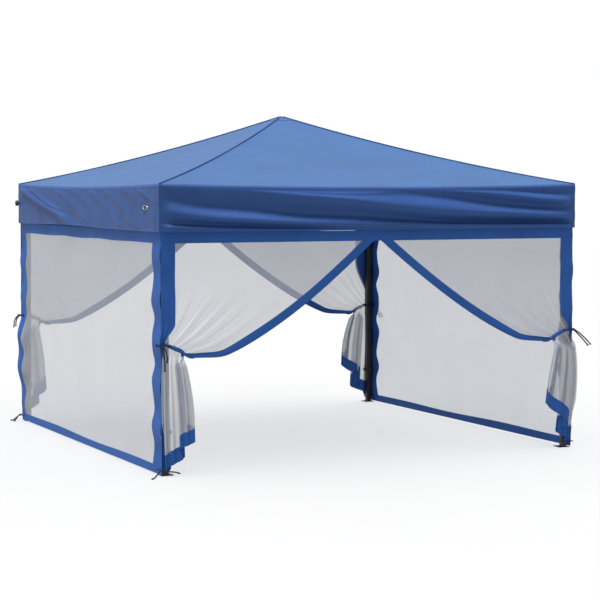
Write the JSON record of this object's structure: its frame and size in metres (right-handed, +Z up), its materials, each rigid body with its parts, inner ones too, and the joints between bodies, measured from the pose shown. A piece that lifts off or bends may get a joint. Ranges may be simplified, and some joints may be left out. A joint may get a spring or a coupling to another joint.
{
  "type": "pop up gazebo",
  "caption": "Square folding garden gazebo: scissor-truss steel frame on telescopic legs, peaked blue canopy with valance, two net walls and two net door curtains tied back.",
  "frame": {"origin": "on the ground under the middle of the canopy", "axes": "+Z up, -Y out through the front doorway, +X to the right seen from the front"},
  "size_m": [3, 3, 2.272],
  "materials": {
    "black_steel": "black powder coat, satin",
    "black_plastic": "black moulded nylon, fine grain",
    "grey_button_plastic": "dark grey moulded plastic",
    "blue_polyester": "plain-woven coated polyester, slight sheen",
    "white_netting": "fine white net, see-through, with blue cloth borders"
  },
  "bodies": {
    "hub": {"upper_hub": "black_plastic", "peak_mast": "black_steel", "canopy": "blue_polyester"},
    "front_radial_high": {"front_radial_high_bar": "black_steel"},
    "front_radial_low": {"front_radial_low_bar": "black_steel"},
    "front_upper_connector": {"front_upper_connector": "black_plastic", "front_door_wall": "white_netting"},
    "front_lower_connector": {"front_lower_connector": "black_plastic"},
    "lower_hub": {"lower_hub": "black_plastic"},
    "front_side_high_left": {"front_side_high_bar_left": "black_steel"},
    "front_side_low_left": {"front_side_low_bar_left": "black_steel"},
    "front_left_outer_leg": {"front_left_outer_leg": "black_steel"},
    "front_left_slider": {"front_left_slider": "black_plastic"},
    "front_left_inner_leg": {"front_left_inner_leg": "black_steel"},
    "front_left_height_button": {"front_left_height_button": "grey_button_plastic"},
    "front_left_slider_latch": {"front_left_slider_latch": "grey_button_plastic"},
    "front_side_high_right": {"front_side_high_bar_right": "black_steel"},
    "front_side_low_right": {"front_side_low_bar_right": "black_steel"},
    "right_radial_high": {"right_radial_high_bar": "black_steel"},
    "right_radial_low": {"right_radial_low_bar": "black_steel"},
    "right_upper_connector": {"right_upper_connector": "black_plastic", "right_mesh_wall": "white_netting"},
    "right_lower_connector": {"right_lower_connector": "black_plastic"},
    "right_side_high_front": {"right_side_high_bar_front": "black_steel"},
    "right_side_low_front": {"right_side_low_bar_front": "black_steel"},
    "front_right_outer_leg": {"front_right_outer_leg": "black_steel"},
    "front_right_slider": {"front_right_slider": "black_plastic"},
    "front_right_inner_leg": {"front_right_inner_leg": "black_steel"},
    "front_right_height_button": {"front_right_height_button": "grey_button_plastic"},
    "front_right_slider_latch": {"front_right_slider_latch": "grey_button_plastic"},
    "right_side_high_back": {"right_side_high_bar_back": "black_steel"},
    "right_side_low_back": {"right_side_low_bar_back": "black_steel"},
    "back_radial_high": {"back_radial_high_bar": "black_steel"},
    "back_radial_low": {"back_radial_low_bar": "black_steel"},
    "back_upper_connector": {"back_upper_connector": "black_plastic", "back_door_wall": "white_netting"},
    "back_lower_connector": {"back_lower_connector": "black_plastic"},
    "back_side_high_right": {"back_side_high_bar_right": "black_steel"},
    "back_side_low_right": {"back_side_low_bar_right": "black_steel"},
    "back_right_outer_leg": {"back_right_outer_leg": "black_steel"},
    "back_right_slider": {"back_right_slider": "black_plastic"},
    "back_right_inner_leg": {"back_right_inner_leg": "black_steel"},
    "back_right_height_button": {"back_right_height_button": "grey_button_plastic"},
    "back_right_slider_latch": {"back_right_slider_latch": "grey_button_plastic"},
    "back_side_high_left": {"back_side_high_bar_left": "black_steel"},
    "back_side_low_left": {"back_side_low_bar_left": "black_steel"},
    "left_radial_high": {"left_radial_high_bar": "black_steel"},
    "left_radial_low": {"left_radial_low_bar": "black_steel"},
    "left_upper_connector": {"left_upper_connector": "black_plastic", "left_mesh_wall": "white_netting"},
    "left_lower_connector": {"left_lower_connector": "black_plastic"},
    "left_side_high_back": {"left_side_high_bar_back": "black_steel"},
    "left_side_low_back": {"left_side_low_bar_back": "black_steel"},
    "back_left_outer_leg": {"back_left_outer_leg": "black_steel"},
    "back_left_slider": {"back_left_slider": "black_plastic"},
    "back_left_inner_leg": {"back_left_inner_leg": "black_steel"},
    "back_left_height_button": {"back_left_height_button": "grey_button_plastic"},
    "back_left_slider_latch": {"back_left_slider_latch": "grey_button_plastic"},
    "left_side_high_front": {"left_side_high_bar_front": "black_steel"},
    "left_side_low_front": {"left_side_low_bar_front": "black_steel"}
  },
  "joints": [
    {"name": "frame_fold", "type": "hinge", "parent": "hub", "child": "front_radial_high", "pos_m": [-0.0065, -0.045, 1.735], "axis": [1, 0, 0], "range_deg": [0, 76], "deforming": ["canopy", "front_door_wall", "right_mesh_wall", "back_door_wall", "left_mesh_wall"]},
    {"name": "front_radial_crossing", "type": "hinge", "parent": "front_radial_high", "child": "front_radial_low", "pos_m": [0, -0.731, 1.61], "axis": [1, 0, 0], "range_deg": [-152, 0]},
    {"name": "front_upper_connector_pivot", "type": "hinge", "parent": "front_radial_low", "child": "front_upper_connector", "pos_m": [0.0065, -1.417, 1.735], "axis": [1, 0, 0], "range_deg": [0, 76]},
    {"name": "front_lower_connector_pivot", "type": "hinge", "parent": "front_radial_high", "child": "front_lower_connector", "pos_m": [-0.0065, -1.417, 1.485], "axis": [1, 0, 0], "range_deg": [-76, 0]},
    {"name": "lower_hub_pivot", "type": "hinge", "parent": "front_radial_low", "child": "lower_hub", "pos_m": [0.0065, -0.045, 1.485], "axis": [1, 0, 0], "range_deg": [0, 76]},
    {"name": "front_side_high_pivot_left", "type": "hinge", "parent": "front_upper_connector", "child": "front_side_high_left", "pos_m": [-0.03, -1.4585, 1.735], "axis": [0, -1, 0], "range_deg": [0, 76]},
    {"name": "front_side_crossing_left", "type": "hinge", "parent": "front_side_high_left", "child": "front_side_low_left", "pos_m": [-0.716, -1.452, 1.61], "axis": [0, -1, 0], "range_deg": [-152, 0]},
    {"name": "front_left_leg_pivot", "type": "hinge", "parent": "front_side_low_left", "child": "front_left_outer_leg", "pos_m": [-1.402, -1.4455, 1.735], "axis": [0, -1, 0], "range_deg": [0, 76]},
    {"name": "front_left_slider_pivot", "type": "hinge", "parent": "front_side_high_left", "child": "front_left_slider", "pos_m": [-1.402, -1.4585, 1.485], "axis": [0, -1, 0], "range_deg": [-76, 0]},
    {"name": "front_left_leg_height", "type": "slide", "parent": "front_left_outer_leg", "child": "front_left_inner_leg", "axis": [0, 0, 1], "range_m": [0, 0.2]},
    {"name": "front_left_height_button_press", "type": "slide", "parent": "front_left_outer_leg", "child": "front_left_height_button", "axis": [-1, 0, 0], "range_m": [0, 0.003], "stiffness_N_per_m": 900},
    {"name": "front_left_slider_latch_press", "type": "slide", "parent": "front_left_slider", "child": "front_left_slider_latch", "axis": [-1, 0, 0], "range_m": [0, 0.003], "stiffness_N_per_m": 900},
    {"name": "front_side_high_pivot_right", "type": "hinge", "parent": "front_upper_connector", "child": "front_side_high_right", "pos_m": [0.03, -1.4585, 1.735], "axis": [0, 1, 0], "range_deg": [0, 76]},
    {"name": "front_side_crossing_right", "type": "hinge", "parent": "front_side_high_right", "child": "front_side_low_right", "pos_m": [0.716, -1.452, 1.61], "axis": [0, 1, 0], "range_deg": [-152, 0]},
    {"name": "right_radial_high_pivot", "type": "hinge", "parent": "hub", "child": "right_radial_high", "pos_m": [0.045, -0.0065, 1.735], "axis": [0, 1, 0], "range_deg": [0, 76]},
    {"name": "right_radial_crossing", "type": "hinge", "parent": "right_radial_high", "child": "right_radial_low", "pos_m": [0.731, 0, 1.61], "axis": [0, 1, 0], "range_deg": [-152, 0]},
    {"name": "right_upper_connector_pivot", "type": "hinge", "parent": "right_radial_low", "child": "right_upper_connector", "pos_m": [1.417, 0.0065, 1.735], "axis": [0, 1, 0], "range_deg": [0, 76]},
    {"name": "right_lower_connector_pivot", "type": "hinge", "parent": "right_radial_high", "child": "right_lower_connector", "pos_m": [1.417, -0.0065, 1.485], "axis": [0, 1, 0], "range_deg": [-76, 0]},
    {"name": "right_side_high_pivot_front", "type": "hinge", "parent": "right_upper_connector", "child": "right_side_high_front", "pos_m": [1.4585, -0.03, 1.735], "axis": [1, 0, 0], "range_deg": [0, 76]},
    {"name": "right_side_crossing_front", "type": "hinge", "parent": "right_side_high_front", "child": "right_side_low_front", "pos_m": [1.452, -0.716, 1.61], "axis": [1, 0, 0], "range_deg": [-152, 0]},
    {"name": "front_right_leg_pivot", "type": "hinge", "parent": "right_side_low_front", "child": "front_right_outer_leg", "pos_m": [1.4455, -1.402, 1.735], "axis": [1, 0, 0], "range_deg": [0, 76]},
    {"name": "front_right_slider_pivot", "type": "hinge", "parent": "right_side_high_front", "child": "front_right_slider", "pos_m": [1.4585, -1.402, 1.485], "axis": [1, 0, 0], "range_deg": [-76, 0]},
    {"name": "front_right_leg_height", "type": "slide", "parent": "front_right_outer_leg", "child": "front_right_inner_leg", "axis": [0, 0, 1], "range_m": [0, 0.2]},
    {"name": "front_right_height_button_press", "type": "slide", "parent": "front_right_outer_leg", "child": "front_right_height_button", "axis": [0, -1, 0], "range_m": [0, 0.003], "stiffness_N_per_m": 900},
    {"name": "front_right_slider_latch_press", "type": "slide", "parent": "front_right_slider", "child": "front_right_slider_latch", "axis": [0, -1, 0], "range_m": [0, 0.003], "stiffness_N_per_m": 900},
    {"name": "right_side_high_pivot_back", "type": "hinge", "parent": "right_upper_connector", "child": "right_side_high_back", "pos_m": [1.4585, 0.03, 1.735], "axis": [-1, 0, 0], "range_deg": [0, 76]},
    {"name": "right_side_crossing_back", "type": "hinge", "parent": "right_side_high_back", "child": "right_side_low_back", "pos_m": [1.452, 0.716, 1.61], "axis": [-1, 0, 0], "range_deg": [-152, 0]},
    {"name": "back_radial_high_pivot", "type": "hinge", "parent": "hub", "child": "back_radial_high", "pos_m": [0.0065, 0.045, 1.735], "axis": [-1, 0, 0], "range_deg": [0, 76]},
    {"name": "back_radial_crossing", "type": "hinge", "parent": "back_radial_high", "child": "back_radial_low", "pos_m": [0, 0.731, 1.61], "axis": [-1, 0, 0], "range_deg": [-152, 0]},
    {"name": "back_upper_connector_pivot", "type": "hinge", "parent": "back_radial_low", "child": "back_upper_connector", "pos_m": [-0.0065, 1.417, 1.735], "axis": [-1, 0, 0], "range_deg": [0, 76]},
    {"name": "back_lower_connector_pivot", "type": "hinge", "parent": "back_radial_high", "child": "back_lower_connector", "pos_m": [0.0065, 1.417, 1.485], "axis": [-1, 0, 0], "range_deg": [-76, 0]},
    {"name": "back_side_high_pivot_right", "type": "hinge", "parent": "back_upper_connector", "child": "back_side_high_right", "pos_m": [0.03, 1.4585, 1.735], "axis": [0, 1, 0], "range_deg": [0, 76]},
    {"name": "back_side_crossing_right", "type": "hinge", "parent": "back_side_high_right", "child": "back_side_low_right", "pos_m": [0.716, 1.452, 1.61], "axis": [0, 1, 0], "range_deg": [-152, 0]},
    {"name": "back_right_leg_pivot", "type": "hinge", "parent": "back_side_low_right", "child": "back_right_outer_leg", "pos_m": [1.402, 1.4455, 1.735], "axis": [0, 1, 0], "range_deg": [0, 76]},
    {"name": "back_right_slider_pivot", "type": "hinge", "parent": "back_side_high_right", "child": "back_right_slider", "pos_m": [1.402, 1.4585, 1.485], "axis": [0, 1, 0], "range_deg": [-76, 0]},
    {"name": "back_right_leg_height", "type": "slide", "parent": "back_right_outer_leg", "child": "back_right_inner_leg", "axis": [0, 0, 1], "range_m": [0, 0.2]},
    {"name": "back_right_height_button_press", "type": "slide", "parent": "back_right_outer_leg", "child": "back_right_height_button", "axis": [1, 0, 0], "range_m": [0, 0.003], "stiffness_N_per_m": 900},
    {"name": "back_right_slider_latch_press", "type": "slide", "parent": "back_right_slider", "child": "back_right_slider_latch", "axis": [1, 0, 0], "range_m": [0, 0.003], "stiffness_N_per_m": 900},
    {"name": "back_side_high_pivot_left", "type": "hinge", "parent": "back_upper_connector", "child": "back_side_high_left", "pos_m": [-0.03, 1.4585, 1.735], "axis": [0, -1, 0], "range_deg": [0, 76]},
    {"name": "back_side_crossing_left", "type": "hinge", "parent": "back_side_high_left", "child": "back_side_low_left", "pos_m": [-0.716, 1.452, 1.61], "axis": [0, -1, 0], "range_deg": [-152, 0]},
    {"name": "left_radial_high_pivot", "type": "hinge", "parent": "hub", "child": "left_radial_high", "pos_m": [-0.045, 0.0065, 1.735], "axis": [0, -1, 0], "range_deg": [0, 76]},
    {"name": "left_radial_crossing", "type": "hinge", "parent": "left_radial_high", "child": "left_radial_low", "pos_m": [-0.731, 0, 1.61], "axis": [0, -1, 0], "range_deg": [-152, 0]},
    {"name": "left_upper_connector_pivot", "type": "hinge", "parent": "left_radial_low", "child": "left_upper_connector", "pos_m": [-1.417, -0.0065, 1.735], "axis": [0, -1, 0], "range_deg": [0, 76]},
    {"name": "left_lower_connector_pivot", "type": "hinge", "parent": "left_radial_high", "child": "left_lower_connector", "pos_m": [-1.417, 0.0065, 1.485], "axis": [0, -1, 0], "range_deg": [-76, 0]},
    {"name": "left_side_high_pivot_back", "type": "hinge", "parent": "left_upper_connector", "child": "left_side_high_back", "pos_m": [-1.4585, 0.03, 1.735], "axis": [-1, 0, 0], "range_deg": [0, 76]},
    {"name": "left_side_crossing_back", "type": "hinge", "parent": "left_side_high_back", "child": "left_side_low_back", "pos_m": [-1.452, 0.716, 1.61], "axis": [-1, 0, 0], "range_deg": [-152, 0]},
    {"name": "back_left_leg_pivot", "type": "hinge", "parent": "left_side_low_back", "child": "back_left_outer_leg", "pos_m": [-1.4455, 1.402, 1.735], "axis": [-1, 0, 0], "range_deg": [0, 76]},
    {"name": "back_left_slider_pivot", "type": "hinge", "parent": "left_side_high_back", "child": "back_left_slider", "pos_m": [-1.4585, 1.402, 1.485], "axis": [-1, 0, 0], "range_deg": [-76, 0]},
    {"name": "back_left_leg_height", "type": "slide", "parent": "back_left_outer_leg", "child": "back_left_inner_leg", "axis": [0, 0, 1], "range_m": [0, 0.2]},
    {"name": "back_left_height_button_press", "type": "slide", "parent": "back_left_outer_leg", "child": "back_left_height_button", "axis": [0, 1, 0], "range_m": [0, 0.003], "stiffness_N_per_m": 900},
    {"name": "back_left_slider_latch_press", "type": "slide", "parent": "back_left_slider", "child": "back_left_slider_latch", "axis": [0, 1, 0], "range_m": [0, 0.003], "stiffness_N_per_m": 900},
    {"name": "left_side_high_pivot_front", "type": "hinge", "parent": "left_upper_connector", "child": "left_side_high_front", "pos_m": [-1.4585, -0.03, 1.735], "axis": [1, 0, 0], "range_deg": [0, 76]},
    {"name": "left_side_crossing_front", "type": "hinge", "parent": "left_side_high_front", "child": "left_side_low_front", "pos_m": [-1.452, -0.716, 1.61], "axis": [1, 0, 0], "range_deg": [-152, 0]}
  ],
  "couplings": [
    {"joint": "front_radial_crossing", "follows": "frame_fold", "ratio": -2},
    {"joint": "front_upper_connector_pivot", "follows": "frame_fold", "ratio": 1},
    {"joint": "front_lower_connector_pivot", "follows": "frame_fold", "ratio": -1},
    {"joint": "lower_hub_pivot", "follows": "frame_fold", "ratio": 1},
    {"joint": "front_side_high_pivot_left", "follows": "frame_fold", "ratio": 1},
    {"joint": "front_side_crossing_left", "follows": "frame_fold", "ratio": -2},
    {"joint": "front_left_leg_pivot", "follows": "frame_fold", "ratio": 1},
    {"joint": "front_left_slider_pivot", "follows": "frame_fold", "ratio": -1},
    {"joint": "front_side_high_pivot_right", "follows": "frame_fold", "ratio": 1},
    {"joint": "front_side_crossing_right", "follows": "frame_fold", "ratio": -2},
    {"joint": "right_radial_high_pivot", "follows": "frame_fold", "ratio": 1},
    {"joint": "right_radial_crossing", "follows": "frame_fold", "ratio": -2},
    {"joint": "right_upper_connector_pivot", "follows": "frame_fold", "ratio": 1},
    {"joint": "right_lower_connector_pivot", "follows": "frame_fold", "ratio": -1},
    {"joint": "right_side_high_pivot_front", "follows": "frame_fold", "ratio": 1},
    {"joint": "right_side_crossing_front", "follows": "frame_fold", "ratio": -2},
    {"joint": "front_right_leg_pivot", "follows": "frame_fold", "ratio": 1},
    {"joint": "front_right_slider_pivot", "follows": "frame_fold", "ratio": -1},
    {"joint": "right_side_high_pivot_back", "follows": "frame_fold", "ratio": 1},
    {"joint": "right_side_crossing_back", "follows": "frame_fold", "ratio": -2},
    {"joint": "back_radial_high_pivot", "follows": "frame_fold", "ratio": 1},
    {"joint": "back_radial_crossing", "follows": "frame_fold", "ratio": -2},
    {"joint": "back_upper_connector_pivot", "follows": "frame_fold", "ratio": 1},
    {"joint": "back_lower_connector_pivot", "follows": "frame_fold", "ratio": -1},
    {"joint": "back_side_high_pivot_right", "follows": "frame_fold", "ratio": 1},
    {"joint": "back_side_crossing_right", "follows": "frame_fold", "ratio": -2},
    {"joint": "back_right_leg_pivot", "follows": "frame_fold", "ratio": 1},
    {"joint": "back_right_slider_pivot", "follows": "frame_fold", "ratio": -1},
    {"joint": "back_side_high_pivot_left", "follows": "frame_fold", "ratio": 1},
    {"joint": "back_side_crossing_left", "follows": "frame_fold", "ratio": -2},
    {"joint": "left_radial_high_pivot", "follows": "frame_fold", "ratio": 1},
    {"joint": "left_radial_crossing", "follows": "frame_fold", "ratio": -2},
    {"joint": "left_upper_connector_pivot", "follows": "frame_fold", "ratio": 1},
    {"joint": "left_lower_connector_pivot", "follows": "frame_fold", "ratio": -1},
    {"joint": "left_side_high_pivot_back", "follows": "frame_fold", "ratio": 1},
    {"joint": "left_side_crossing_back", "follows": "frame_fold", "ratio": -2},
    {"joint": "back_left_leg_pivot", "follows": "frame_fold", "ratio": 1},
    {"joint": "back_left_slider_pivot", "follows": "frame_fold", "ratio": -1},
    {"joint": "left_side_high_pivot_front", "follows": "frame_fold", "ratio": 1},
    {"joint": "left_side_crossing_front", "follows": "frame_fold", "ratio": -2}
  ]
}
